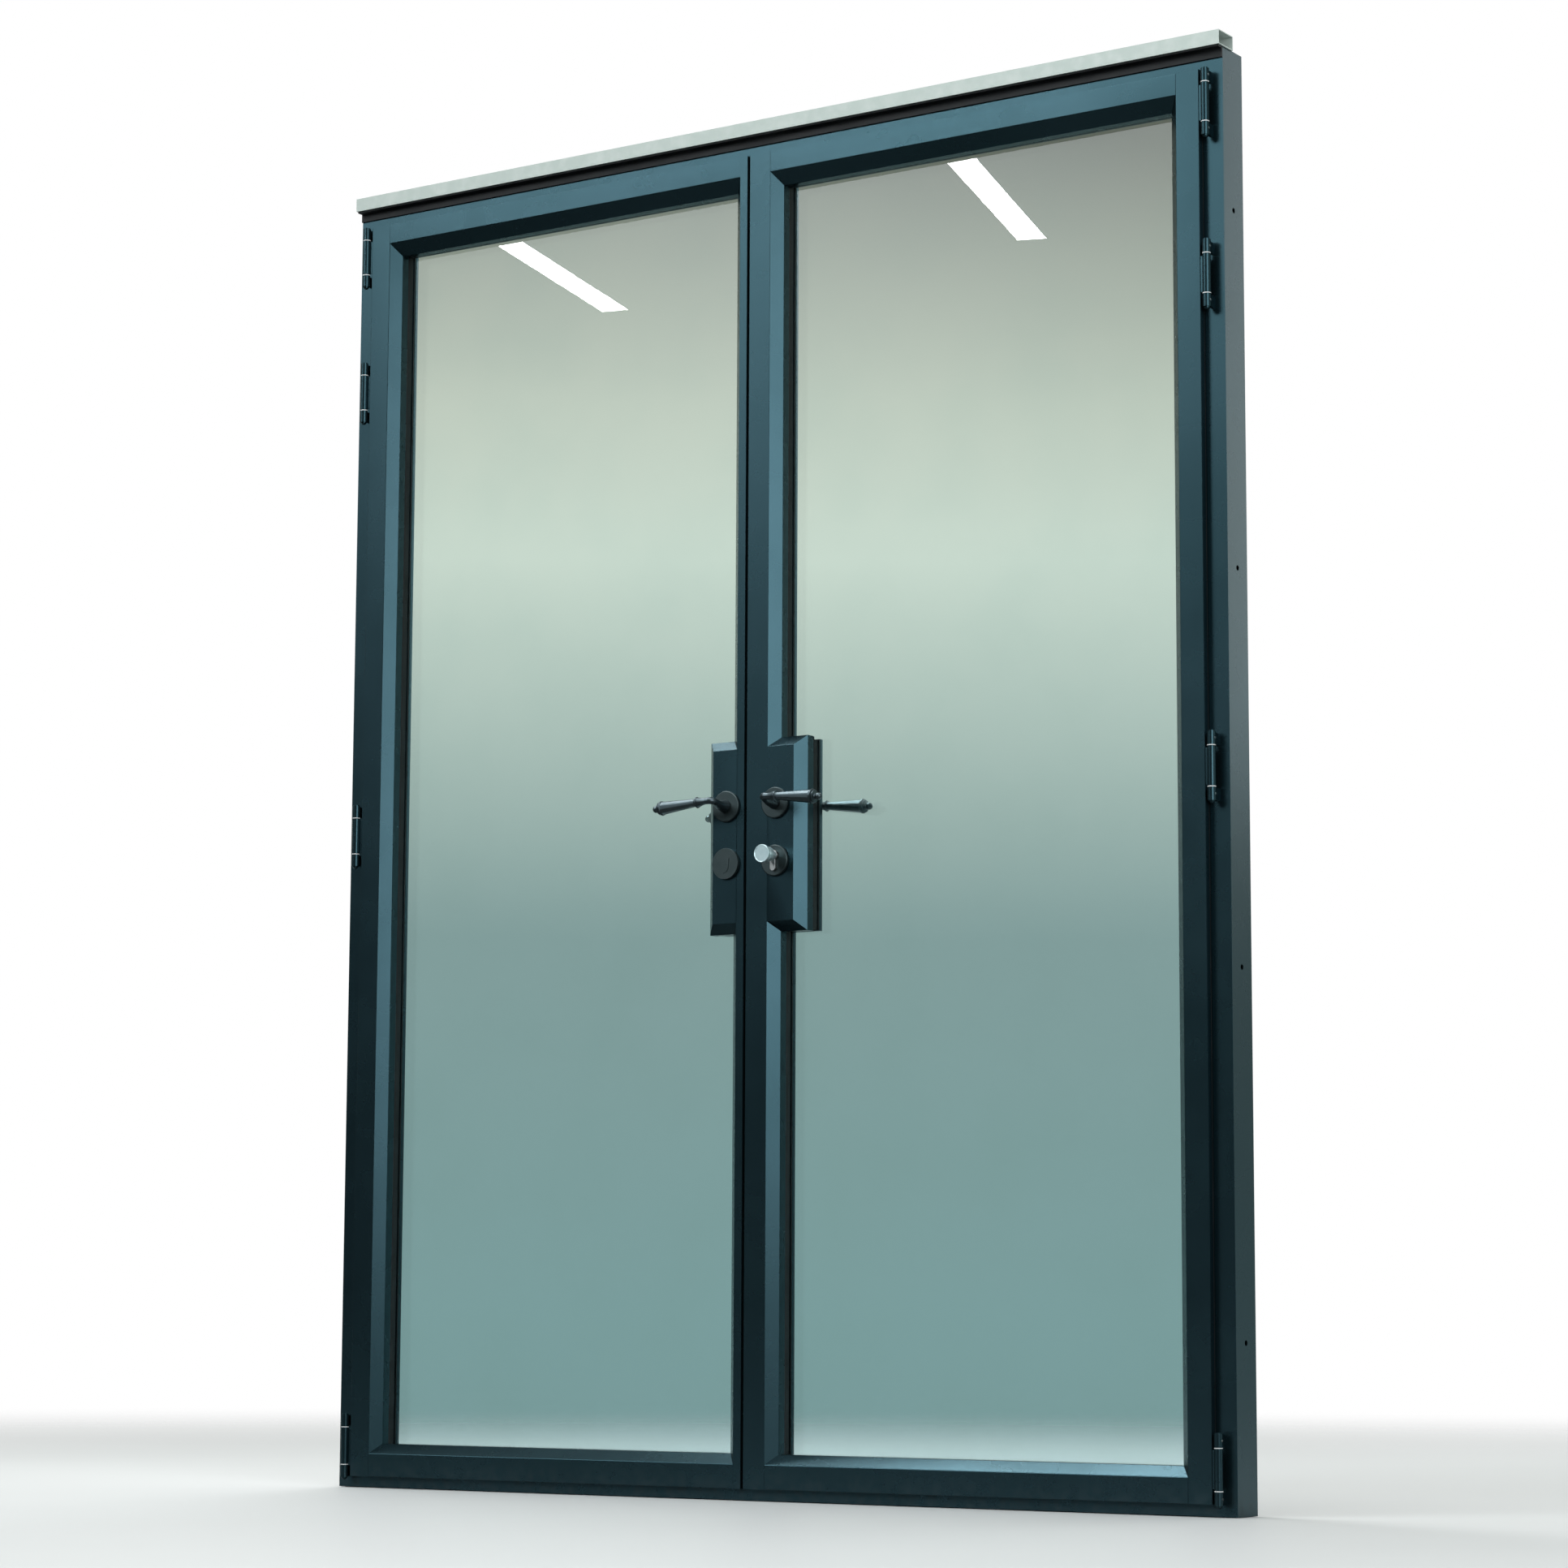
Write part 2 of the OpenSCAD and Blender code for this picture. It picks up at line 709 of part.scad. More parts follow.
// Plastic blocks that the glass unit stands on
module setting_blocks(side) {
    u0 = hinge_face;
    u1 = leaf_w(side) - meeting_face(side);
    color("#2a2d2f") in_leaf(side) for (u = [u0 + 60, u1 - 160])
        translate([u, glass_y, bottom_face]) cube([100, unit_t, glass_gap]);
}

module left_outer_pane() pane(left, glass_y);
module left_inner_pane() pane(left, glass_y + pane_t + pane_gap);
module left_glass_spacer() spacer(left);
module left_glazing_beads() beads(left);
module left_glazing_gaskets() gaskets(left);
module left_setting_blocks() setting_blocks(left);
module right_outer_pane() pane(right, glass_y);
module right_inner_pane() pane(right, glass_y + pane_t + pane_gap);
module right_glass_spacer() spacer(right);
module right_glazing_beads() beads(right);
module right_glazing_gaskets() gaskets(right);
module right_setting_blocks() setting_blocks(right);

// Thin rubber strip on the right leaf's edge; the other leaf's back corner swings past it
module right_meeting_seal() {
    seal_t = 1.3;
    color(rubber) from_meeting(right) translate([-seal_t, 4, 1]) cube([seal_t, 6, leaf_h - 2]);
}

// ---------------------------------------------------------------- locks

// Folded steel case open at its front edge, hollow but for its walls
module right_lock_case() {
    hub = 16;
    color(steel) from_meeting(right) difference() {
        translate([plate_t, case_y - case_t / 2, lever_z - case_below])
            cube([case_s1 - plate_t, case_t, case_below + case_above]);
        translate([plate_t - 1, case_y - case_t / 2 + case_wall, lever_z - case_below + case_wall])
            cube([case_s1 - plate_t + 1 - case_wall, case_t - 2 * case_wall,
                case_below + case_above - 2 * case_wall]);
        translate([right_backset, 0, lever_z]) across(hub, 0, leaf_depth);
        translate([right_backset, 0, key_z]) key_bar(0.2, 0, leaf_depth);
    }
}

module right_faceplate() {
    color(bright) from_meeting(right) difference() {
        translate([0, case_y - plate_w / 2, lever_z - plate_below])
            cube([plate_t, plate_w, plate_below + plate_above]);
        bolt_space(latch_size, latch_z, slide_gap, -1, plate_t + 1);
        bolt_space(dead_size, dead_z, slide_gap, -1, plate_t + 1);
    }
}

module left_strike_plate() {
    color(bright) from_meeting(left) difference() {
        translate([0, case_y - plate_w / 2, lever_z - plate_below])
            cube([plate_t, plate_w, plate_below + plate_above]);
        bolt_space(latch_size, latch_z, 1, -1, plate_t + 1);
        bolt_space(dead_size, dead_z, 1, -1, plate_t + 1);
    }
}

// Latch, held back behind the faceplate
module right_latch() {
    color(bright) from_meeting(right) bolt_space(latch_size, latch_z, 0, 0.2, latch_size[0]);
}

// Deadbolt, drawn back
module right_deadbolt() {
    color(bright) from_meeting(right) bolt_space(dead_size, dead_z, 0, 0.2, dead_size[0]);
}

// Key cylinder through the right lock, its ends just past the escutcheons
cylinder_past = 4;
module right_cylinder() {
    color(bright) from_meeting(right) translate([right_backset, 0, key_z])
        difference() {
            key_bar(0, -rose_t - cylinder_past, leaf_depth + rose_t + cylinder_past);
            across(6.06, -rose_t - cylinder_past - 1, 8);
        }
}

// Knob that throws the deadbolt, with its tail inside the cylinder
module thumb_turn() {
    y = -rose_t - cylinder_past - slide_gap;
    body_r = knob_d / 2 - 2.2;
    groove_r = body_r - 2;
    color(bright) from_meeting(right) translate([right_backset, 0, key_z])
        mirror([0, 1, 0]) turned([[0, -7], [3, -7], [3, -y], [7.5, -y], [8.5, 4 - y],
            [body_r, 11.5 - y], [body_r, 21.5 - y], [groove_r, 22.5 - y], [groove_r, 24.5 - y],
            [knob_d / 2 - 1, 25 - y], [knob_d / 2, 26 - y], [knob_d / 2, 30 - y],
            [knob_d / 2 - 1, 31 - y], [0, 31 - y]]);
}

// Blank plugs that close the left escutcheons
module left_blank_plugs() {
    color(dark_satin) from_meeting(left) translate([left_backset, 0, key_z]) front_and_back()
        key_bar(0, -rose_t + 0.8, 12);
}

// Gear case of the shoot bolts, in the left lock box
module left_gear_case() {
    h = 2 * gear_half;
    w = left_meeting_face + left_box_w - wall - gear_s - 0.5;
    slot = yoke_h + shoot_throw + 1;
    color(steel) from_meeting(left) difference() {
        translate([gear_s, gear_y, lever_z - gear_half]) cube([w, case_t, h]);
        translate([gear_s + case_wall, gear_y + case_wall, lever_z - gear_half + case_wall])
            cube([w - 2 * case_wall, case_t - 2 * case_wall, h - 2 * case_wall]);
        translate([left_backset, 0, lever_z]) across(13, 0, leaf_depth);
        for (m = [0, 1]) translate([0, yoke_y - 0.5, lever_z]) mirror([0, 0, m])
            translate([0, 0, yoke_low - 0.5]) cube([left_backset, yoke_t + 1, slot]);
    }
}

hub_r = 6.45;

// Fork of a shoot bolt between s0 and s1, with the slot from slot_s0 to slot_s1 in which the
// crank's pin rides; it is open on the crank's side
module yoke_fork(s0, s1, slot_s0, slot_s1) {
    slot_h = yoke_pin_d + 1.8;
    foot = 6;
    difference() {
        translate([s0, yoke_y, lever_z - foot]) cube([s1 - s0, yoke_t, yoke_low + foot + yoke_h]);
        translate([slot_s0, yoke_y - 1, lever_z - slot_h / 2])
            cube([slot_s1 - slot_s0, yoke_t + 2, slot_h]);
    }
}

// Where the crank's two pins lie at rest, the forks' outer edges and the hub's clear sides
fork_edge = 3.6;
slot_edge = 2.8;
pin_far = left_backset + crank_r;
pin_near = left_backset - crank_r;
hub_far = left_backset + hub_r + 0.7;
hub_near = left_backset - hub_r - 0.7;

// Rod and arm of a shoot bolt that ends at height z1, its arm reaching to arm_end
module shoot_rod(z1, arm_end) {
    translate([rod_s, rod_y, lever_z + yoke_low])
        cylinder(d = rod_d, h = z1 - lever_z - yoke_low);
    translate([rod_s, yoke_y, lever_z + yoke_low]) cube([arm_end - rod_s, yoke_t, yoke_h]);
}

module left_top_bolt() {
    color(steel) from_meeting(left) {
        shoot_rod(leaf_h - rebate - rod_inset, pin_far + fork_edge);
        yoke_fork(hub_far, pin_far + fork_edge, hub_far - 1, pin_far + slot_edge);
    }
}

module left_bottom_bolt() {
    color(steel) from_meeting(left) translate([0, 0, 2 * lever_z]) mirror([0, 0, 1]) {
        shoot_rod(2 * lever_z - rebate - rod_inset, hub_near);
        yoke_fork(pin_near - fork_edge, hub_near, pin_near - slot_edge, hub_near + 1);
    }
}

// ---------------------------------------------------------------- handles

// Rose round a lever, and the same disc with another hole for the cylinder
module rose(bore) {
    edge = 1.2;
    r = rose_d / 2;
    mirror([0, 1, 0]) turned([[bore / 2, 0], [r, 0], [r, rose_t - edge], [r - edge, rose_t],
        [bore / 2, rose_t]]);
}

module roses(side) {
    color(dark_satin) from_meeting(side) translate([backset(side), 0, lever_z])
        front_and_back() rose(hub_d + 0.12);
}

module escutcheons(side, slack) {
    color(dark_satin) from_meeting(side) translate([backset(side), 0, key_z]) front_and_back()
        difference() {
            translate([0, 0, -escutcheon_drop]) rose(0);
            key_bar(slack, -rose_t - 1, 1);
        }
}

module left_roses() roses(left);
module right_roses() roses(right);
module left_escutcheons() escutcheons(left, 0.4);
module right_escutcheons() escutcheons(right, 0.2);

// Lever on the front of a leaf about its own axis, pointing along +X. Its cone foot holds the
// spindle, and its neck leans up from there to the elbow at the height of the grip.
module lever() {
    droop = 4;
    grip_r = grip_d / 2;
    l = lever_l;
    foot_l = spindle_reach + 1.5;
    foot_end = 7.6;
    neck_from = foot_l - 3;
    neck_l = norm([grip_out - neck_from, neck_rise]);
    lean = atan(neck_rise / (grip_out - neck_from));
    difference() {
        union() {
            mirror([0, 1, 0]) turned([[0, 0.3], [hub_d / 2, 0.3], [hub_d / 2, rose_t + 0.3],
                [foot_d / 2, rose_t + 0.3], [foot_d / 2, rose_t + 1.6],
                [hub_d / 2 + 0.3, rose_t + 5.5], [foot_end, foot_l - 1.4],
                [foot_end - 1.2, foot_l], [0, foot_l]]);
            translate([0, -neck_from, 0]) rotate([90 - lean, 0, 0])
                cylinder(r1 = foot_end - 0.3, d2 = neck_d, h = neck_l);
            translate([0, -grip_out, neck_rise]) {
                sphere(d = neck_d + 0.8);
                rotate([0, 90 + droop, 0]) {
                    rotate_extrude() polygon([[0, 0], [neck_d / 2, 0], [neck_d / 2 - 0.4, 12],
                        [7.4, 26], [8.9, 27.5], [8.9, 29.5], [6.8, 31], [grip_r - 0.5, l - 19],
                        [grip_r + 1, l - 18], [grip_r + 1, l - 15], [grip_r - 2, l - 13],
                        [4, l - 11], [0, l - 11]]);
                    translate([0, 0, l - 6.5]) sphere(d = 13);
                }
            }
        }
        translate([-spindle_side / 2 - 0.1, -spindle_reach - 0.5, -spindle_side / 2 - 0.1])
            cube([spindle_side + 0.2, spindle_reach + 1, spindle_side + 0.2]);
    }
}

module at_lever(side) {
    from_meeting(side) translate([backset(side), 0, lever_z]) children();
}

module left_front_lever() color("#4a4f53") at_lever(left) lever();
module left_rear_lever() color("#4a4f53") at_lever(left) on_back() lever();
module right_front_lever() color("#4a4f53") at_lever(right) lever();
module right_rear_lever() color("#4a4f53") at_lever(right) on_back() lever();

module square_bar() {
    translate([-spindle_side / 2, -spindle_reach, -spindle_side / 2])
        cube([spindle_side, leaf_depth + 2 * spindle_reach, spindle_side]);
}

// Square bar through the right lock and the follower it turns in the lock case
module right_spindle() {
    color(steel) at_lever(right) {
        square_bar();
        difference() {
            across(15.9, case_y - case_t / 2, case_y + case_t / 2);
            translate([-4.1, 0, -4.1]) cube([8.2, leaf_depth, 8.2]);
        }
    }
}

// Square bar through the left lock and the two-pin crank that drives the shoot bolts
module left_spindle() {
    arm = 7;
    color(steel) at_lever(left) {
        square_bar();
        difference() {
            union() {
                across(2 * hub_r, gear_y, gear_y + case_t);
                translate([-crank_r, gear_y + case_wall + 0.3, -arm / 2])
                    cube([2 * crank_r, yoke_y - gear_y - case_wall - 0.9, arm]);
                for (x = [-crank_r, crank_r]) translate([x, 0, 0])
                    across(yoke_pin_d, gear_y + case_wall + 0.3, yoke_y + yoke_t + 1);
            }
            translate([-4.1, 0, -4.1]) cube([8.2, leaf_depth, 8.2]);
        }
    }
}

// ---------------------------------------------------------------- nodes

frame_jamb_left();
frame_jamb_right();
frame_head();
frame_sill();
frame_corner_cleats();
frame_seal();
head_joint_strip();
head_trim();
head_trim_screws();
frame_hinge_knuckles();
hinge_pins();
hinge_washers();
hinge_grub_screws();
shoot_bolt_keeps();
left_hinge_stile();
left_meeting_stile();
left_top_rail();
left_bottom_rail();
left_lock_box();
left_outer_pane();
left_inner_pane();
left_glass_spacer();
left_glazing_beads();
left_glazing_gaskets();
left_setting_blocks();
left_hinge_knuckles();
left_gear_case();
left_strike_plate();
left_roses();
left_escutcheons();
left_blank_plugs();
left_front_lever();
left_rear_lever();
left_spindle();
left_top_bolt();
left_bottom_bolt();
right_hinge_stile();
right_meeting_stile();
right_top_rail();
right_bottom_rail();
right_lock_box();
right_outer_pane();
right_inner_pane();
right_glass_spacer();
right_glazing_beads();
right_glazing_gaskets();
right_setting_blocks();
right_hinge_knuckles();
right_lock_case();
right_faceplate();
right_meeting_seal();
right_roses();
right_escutcheons();
right_cylinder();
right_front_lever();
right_rear_lever();
right_spindle();
right_latch();
right_deadbolt();
thumb_turn();
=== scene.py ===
import bmesh
import bpy
from math import cos, pi, radians, sin
from mathutils import Matrix, Vector


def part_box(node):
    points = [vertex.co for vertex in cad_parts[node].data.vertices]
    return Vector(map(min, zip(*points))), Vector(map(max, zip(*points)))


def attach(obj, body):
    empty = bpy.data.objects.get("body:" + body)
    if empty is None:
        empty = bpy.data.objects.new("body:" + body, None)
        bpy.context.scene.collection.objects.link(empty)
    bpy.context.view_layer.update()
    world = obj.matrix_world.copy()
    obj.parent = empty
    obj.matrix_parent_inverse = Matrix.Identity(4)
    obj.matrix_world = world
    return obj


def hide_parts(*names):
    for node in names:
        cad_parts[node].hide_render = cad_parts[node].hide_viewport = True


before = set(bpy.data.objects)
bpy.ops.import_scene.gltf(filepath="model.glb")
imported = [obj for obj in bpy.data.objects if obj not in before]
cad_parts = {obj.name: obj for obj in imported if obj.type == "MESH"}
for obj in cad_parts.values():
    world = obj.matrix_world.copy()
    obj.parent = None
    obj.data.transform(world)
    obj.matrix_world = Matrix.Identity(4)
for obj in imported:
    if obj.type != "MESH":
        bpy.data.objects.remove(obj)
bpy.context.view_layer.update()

mm = 0.001

# ------------------------------------------------------------------ frame tubes
# The frame is four folded steel tubes with a stop at the back, mitred and welded at the corners.
# Their outside edges are rolled, not sharp. All of it is powder coated dark slate blue after
# welding: a satin coat with a fine grain, rubbed a little smoother where hands pass.


class Wire:
    """A socket in a finish's shader. Sums on wires become Math nodes in the same shader."""

    def __init__(self, tree, socket=None):
        self.tree, self.socket = tree, socket

    def node(self, kind, settings=None, inputs=None, out=0):
        made = self.tree.nodes.new("ShaderNode" + kind)
        for name, value in (settings or {}).items():
            if name == "stops":
                for place, colour in value[2:]:
                    made.color_ramp.elements.new(place)
                for stop, (place, colour) in zip(made.color_ramp.elements, value):
                    stop.position, stop.color = place, (*colour, 1)
            else:
                setattr(made, name, value)
        for name, value in (inputs or {}).items():
            if isinstance(value, Wire):
                self.tree.links.new(value.socket, made.inputs[name])
            else:
                made.inputs[name].default_value = value
        return Wire(self.tree, made.outputs[out] if made.outputs else None)

    def maths(self, operation, a, b):
        return self.node("Math", {"operation": operation}, {0: a, 1: b})

    def __add__(self, other):
        return self.maths("ADD", self, other)

    def __sub__(self, other):
        return self.maths("SUBTRACT", self, other)

    def __rsub__(self, other):
        return self.maths("SUBTRACT", other, self)

    def __mul__(self, other):
        return self.maths("MULTIPLY", self, other)

    __radd__ = __add__
    __rmul__ = __mul__

    def between(self, colour_a, colour_b):
        """The colour that this wire picks, from colour_a at 0 to colour_b at 1."""
        return self.node("Mix", {"data_type": "RGBA"}, {0: self, 6: colour_a, 7: colour_b}, out=2)

    def noise(self, place, scale, detail=2.0):
        return self.node("TexNoise", inputs={"Vector": place, "Scale": scale, "Detail": detail})

    def ramp(self, low, high):
        """0 below low, 1 above high, smooth between."""
        return self.node("MapRange", {"interpolation_type": "SMOOTHSTEP"},
                         {"Value": self, "From Min": low, "From Max": high})


def new_finish(name):
    """An empty material, the start of its shader and the object's own coordinates in metres."""
    material = bpy.data.materials.new(name)
    material.use_nodes = True
    material.node_tree.nodes.clear()
    start = Wire(material.node_tree)
    return material, start, start.node("TexCoord", out="Object")


def metal_shader(start, relief, relief_mm, **sockets):
    """A Principled shader on its output, with relief as a bump that is relief_mm high."""
    inputs = {name.replace("_", " "): value for name, value in sockets.items()}
    inputs["Normal"] = start.node("Bump", inputs={"Height": relief, "Distance": relief_mm * mm,
                                                  "Strength": 1.0})
    start.node("OutputMaterial", inputs={"Surface": start.node("BsdfPrincipled", inputs=inputs)})


def make_slate_coat():
    finish, start, place = new_finish("slate_coat")
    grain = start.noise(place, 1500.0)
    flow = start.noise(place, 260.0)
    patch = start.noise(place, 2.2, 3.0)
    hands = start.noise(place, 14.0, 4.0)
    height = start.node("SeparateXYZ", inputs={"Vector": place}, out="Z")
    dust = (1 - height.ramp(0.0, 0.06)) * start.noise(place, 60.0, 4.0).ramp(0.35, 0.75)
    base = patch.ramp(0.3, 0.7).between((0.024, 0.056, 0.068, 1), (0.031, 0.067, 0.082, 1))
    base = (grain.ramp(0.55, 0.8) * 0.25).between(base, (0.044, 0.080, 0.096, 1))
    base = (dust * 0.12).between(base, (0.16, 0.155, 0.145, 1))
    metal_shader(start, grain * 0.6 + flow * 0.4, 0.025, Base_Color=base,
                 Roughness=0.23 + hands * 0.08 + dust * 0.2, Metallic=0.9,
                 Specular_IOR_Level=0.45)
    return finish


slate_coat = make_slate_coat()


def dress(names, finish):
    """Puts a finish on CAD pieces that keep their shape."""
    for name in names:
        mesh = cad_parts[name].data
        mesh.materials.clear()
        mesh.materials.append(finish)


def only(piece):
    """Selects this piece and no other."""
    bpy.ops.object.select_all(action="DESELECT")
    piece.select_set(True)
    bpy.context.view_layer.objects.active = piece


def apply_modifier(piece, kind, **settings):
    only(piece)
    modifier = piece.modifiers.new(kind.lower(), kind)
    for name, value in settings.items():
        setattr(modifier, name, value)
    bpy.ops.object.modifier_apply(modifier=modifier.name)


def soften(node, body, slot, finish, width, wanted=lambda edge: True, segments=2):
    """A copy of a CAD piece with its outside edges rounded by width, which stands for it."""
    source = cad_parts[node]
    piece = bpy.data.objects.new(node + "_soft", source.data.copy())
    bpy.context.scene.collection.objects.link(piece)
    only(piece)
    bpy.ops.object.mode_set(mode="EDIT")
    bpy.ops.mesh.select_all(action="SELECT")
    bpy.ops.mesh.remove_doubles(threshold=0.000002)
    bpy.ops.mesh.dissolve_limited(angle_limit=radians(0.3))
    bpy.ops.mesh.select_all(action="DESELECT")
    bpy.ops.mesh.select_mode(type="EDGE")
    shape = bmesh.from_edit_mesh(piece.data)
    for edge in shape.edges:
        sharp = len(edge.link_faces) == 2 and edge.is_convex
        if sharp and edge.calc_face_angle() > radians(30) and wanted(edge):
            edge.select_set(True)
    bmesh.update_edit_mesh(piece.data)
    bpy.ops.mesh.bevel(offset=width, segments=segments, affect="EDGES", clamp_overlap=True)
    bpy.ops.object.mode_set(mode="OBJECT")
    hang(piece, body, slot, finish, node)
    return piece


def hang(piece, body, slot, finish, *nodes):
    """Shades a finished piece, gives it its finish and hangs it on its body."""
    only(piece)
    bpy.ops.object.shade_smooth_by_angle(angle=radians(32))
    apply_modifier(piece, "WEIGHTED_NORMAL", keep_sharp=True)
    piece.data.materials.clear()
    piece.data.materials.append(finish)
    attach(piece, body)
    if nodes:
        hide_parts(*nodes)


def along(axis):
    """Picks the edges that run along one axis."""
    return lambda edge: abs((edge.verts[0].co - edge.verts[1].co).normalized()[axis]) > 0.999


X, Y, Z = range(3)
tube_edge = 0.9 * mm
for node, axis in (("frame_jamb_left", Z), ("frame_jamb_right", Z), ("frame_head", X),
                   ("frame_sill", X)):
    soften(node, "frame", "coat", slate_coat, tube_edge, along(axis))

# ------------------------------------------------------------------ leaf frames
# Each leaf is four box tubes with a splay towards the glass, mitred at the splay and welded.
# The stiles run the full height. Beads of the same coat are clipped in behind the glass.
for side in ("left", "right"):
    for stile in ("hinge_stile", "meeting_stile"):
        soften(f"{side}_{stile}", f"{side}_leaf", "coat", slate_coat, tube_edge, along(Z))
    for rail in ("top_rail", "bottom_rail"):
        soften(f"{side}_{rail}", f"{side}_leaf", "coat", slate_coat, tube_edge, along(X))
    soften(f"{side}_glazing_beads", f"{side}_leaf", "coat", slate_coat, 0.8 * mm)

# ------------------------------------------------------------------ lock boxes
# A deep casing is welded to each meeting stile to house the lock, with the same splay as the
# tubes on its three free sides. The glass is notched round it.


def off_stile(node):
    """Picks the edges of a lock box that don't lie on the stile it is welded to."""
    low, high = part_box(node)
    seam = high.x if node.startswith("left") else low.x
    return lambda edge: max(abs(v.co.x - seam) for v in edge.verts) > 0.5 * mm


def fill_weld(box, seam, reach):
    """Carries the box over the stile's rounded edge, as its ground weld does."""
    only(box)
    bpy.ops.object.mode_set(mode="EDIT")
    bpy.ops.mesh.select_mode(type="VERT")
    bpy.ops.mesh.select_all(action="DESELECT")
    shape = bmesh.from_edit_mesh(box.data)
    for corner in shape.verts:
        corner.select_set(abs(corner.co.x - seam) < 0.02 * mm)
    bmesh.update_edit_mesh(box.data)
    bpy.ops.transform.translate(value=(reach, 0, 0))
    bpy.ops.object.mode_set(mode="OBJECT")


for side, towards_stile in (("left", 1), ("right", -1)):
    node = f"{side}_lock_box"
    box = soften(node, f"{side}_leaf", "coat", slate_coat, 1.2 * mm, off_stile(node), segments=3)
    fill_weld(box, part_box(node)[1 if side == "left" else 0].x, towards_stile * tube_edge)

# ------------------------------------------------------------------ seals
# Black extruded rubber: a seal on the frame under the leaves' lips, gaskets on both faces of
# the glass, a thin strip between the leaves and the joint strip over the head. That joint strip
# is a black band put where the head's upper face lies in shade under the trim: painted shade.


def make_black_rubber():
    finish, start, place = new_finish("black_rubber")
    skin = start.noise(place, 900.0, 3.0)
    bloom = start.noise(place, 18.0, 5.0).ramp(0.45, 0.75)
    base = (bloom * 0.5).between((0.008, 0.009, 0.010, 1), (0.030, 0.032, 0.034, 1))
    metal_shader(start, skin, 0.03, Base_Color=base, Roughness=0.55 + bloom * 0.15,
                 Specular_IOR_Level=0.4)
    return finish


black_rubber = make_black_rubber()
dress(["frame_seal", "left_glazing_gaskets", "right_glazing_gaskets", "right_meeting_seal"],
      black_rubber)
# Painted shade: this black strip over the head stands for the shade on the head's upper face under
# the trim.
soften("head_joint_strip", "frame", "rubber", black_rubber, 0.8 * mm, along(X))

# ------------------------------------------------------------------ head trim
# A light grey-green box trim of folded sheet on top of the head, with a matt coat that is
# a little chalky. Five screws hold it down on the head.


def make_light_trim():
    finish, start, place = new_finish("light_trim")
    chalk = start.noise(place, 45.0, 5.0).ramp(0.35, 0.8)
    skin = start.noise(place, 700.0)
    base = chalk.between((0.50, 0.575, 0.535, 1), (0.585, 0.645, 0.61, 1))
    metal_shader(start, skin, 0.06, Base_Color=base, Roughness=0.55 + chalk * 0.12)
    return finish


soften("head_trim", "frame", "trim", make_light_trim(), 1.0 * mm, along(X), segments=3)

# ------------------------------------------------------------------ plain steel
# Zinc-plated steel for what a fitter screws and slides in: cleats in the frame's corners, lock
# and gear cases, shoot bolts, keeps, spindles and screws.


def make_steel(name, colour, rough, streak=(1.0, 1.0, 1.0)):
    finish, start, place = new_finish(name)
    run = start.node("Mapping", inputs={"Vector": place, "Scale": streak})
    brush = start.noise(run, 900.0, 3.0)
    cloud = start.noise(place, 55.0, 4.0)
    darker = tuple(0.72 * c for c in colour)
    base = cloud.ramp(0.3, 0.75).between((*darker, 1), (*colour, 1))
    metal_shader(start, brush, 0.02, Base_Color=base, Roughness=rough + brush * 0.12,
                 Metallic=1.0)
    return finish


zinc_steel = make_steel("zinc_steel", (0.55, 0.56, 0.57), 0.26)
dress(["frame_corner_cleats", "head_trim_screws", "shoot_bolt_keeps", "left_gear_case",
       "right_lock_case", "left_spindle", "right_spindle", "left_top_bolt",
       "left_bottom_bolt"], zinc_steel)
fine_brush = (1.0, 1.0, 0.06)
satin_plate = make_steel("satin_plate", (0.74, 0.75, 0.74), 0.24, fine_brush)
for node, body in (("right_faceplate", "right_leaf"), ("left_strike_plate", "left_leaf"),
                   ("right_latch", "latch"), ("right_deadbolt", "deadbolt")):
    soften(node, body, "satin_nickel", satin_plate, 0.4 * mm)

# ------------------------------------------------------------------ glass units
# Two panes of clear float glass with a spacer bar and an air space between them. Float glass
# is faintly green, most of all seen through two panes and along its ground edge. A painted
# reflection makes the panes darker and bluer towards the bottom.


def make_float_glass():
    finish, start, place = new_finish("float_glass")
    film = start.noise(place, 5.0, 5.0).ramp(0.35, 0.8)
    height = start.node("SeparateXYZ", inputs={"Vector": place}, out="Z")
    # Painted reflection: the panes are darker and bluer towards the bottom, as if a teal room
    # showed in them there.
    base = height.ramp(0.1, 2.0).between((0.78, 0.89, 0.90, 1), (0.86, 0.93, 0.91, 1))
    base = (film * 0.25).between(base, (0.74, 0.85, 0.84, 1))
    shader = start.node("BsdfPrincipled", inputs={
        "Base Color": base, "Roughness": film * 0.004, "Transmission Weight": 1.0, "IOR": 1.5})
    start.node("OutputMaterial", inputs={"Surface": shader})
    return finish


float_glass = make_float_glass()
for side in ("left", "right"):
    for pane in ("outer_pane", "inner_pane"):
        soften(f"{side}_{pane}", f"{side}_leaf", "glass", float_glass, 0.4 * mm, segments=1)


def make_dark_plastic():
    finish, start, place = new_finish("dark_plastic")
    skin = start.noise(place, 500.0)
    base = start.noise(place, 20.0, 3.0).ramp(0.3, 0.7).between((0.010, 0.013, 0.015, 1),
                                                                (0.017, 0.021, 0.024, 1))
    metal_shader(start, skin, 0.03, Base_Color=base, Roughness=0.45 + skin * 0.1)
    return finish


dress([f"{side}_{part}" for side in ("left", "right")
       for part in ("glass_spacer", "setting_blocks")], make_dark_plastic())

# ------------------------------------------------------------------ hinges
# Three-knuckle barrel hinges, turned from bar and coated with the doors. White nylon washers
# part the knuckles, and small bright socket screws lock the coated pin with its domed foot.


def make_nylon():
    finish, start, place = new_finish("white_nylon")
    grime = start.noise(place, 240.0, 4.0).ramp(0.45, 0.8)
    base = (grime * 0.6).between((0.82, 0.83, 0.83, 1), (0.50, 0.50, 0.48, 1))
    metal_shader(start, grime, 0.02, Base_Color=base, Roughness=0.40 + grime * 0.2)
    return finish


